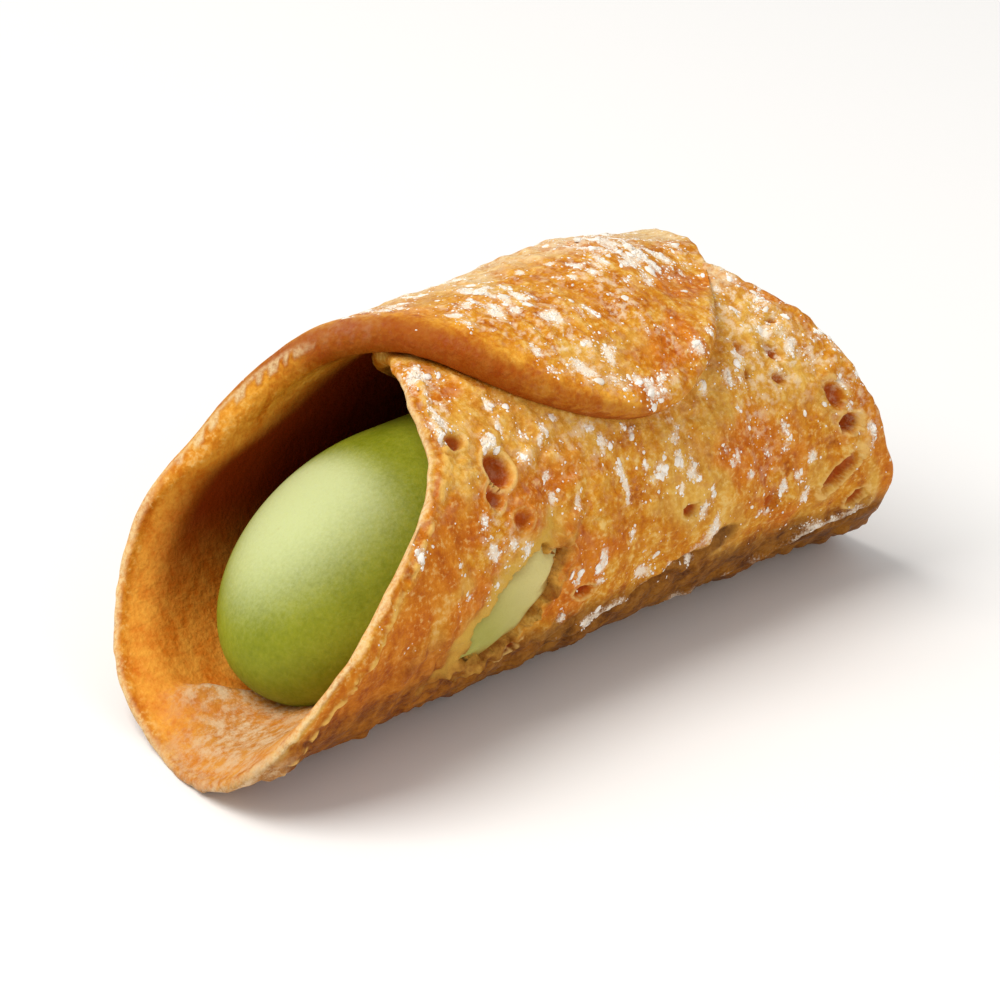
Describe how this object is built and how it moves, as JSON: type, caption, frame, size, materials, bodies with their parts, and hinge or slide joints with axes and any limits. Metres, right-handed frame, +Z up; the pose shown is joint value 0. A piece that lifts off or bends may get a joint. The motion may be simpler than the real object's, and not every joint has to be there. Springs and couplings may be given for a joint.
{
  "type": "cannolo",
  "caption": "Fried pastry tube wrapped from an oval of dough, with slanting flared mouths, an overlap along the top and a pistachio cream filling.",
  "frame": {"origin": "on the surface it rests on, under the middle of its bounding box", "axes": "+X along the tube from the wider slanting mouth to the other, +Z up through the overlap, -Y the side the tongue of the overlap lies on"},
  "size_m": [0.0764, 0.0332, 0.0347],
  "materials": {
    "crust": "blistered fried pastry, golden brown, dusted with sugar",
    "cream": "fine-grained pale green cream"
  },
  "bodies": {
    "root": {"shell": "crust", "cream": "cream"}
  },
  "joints": []
}
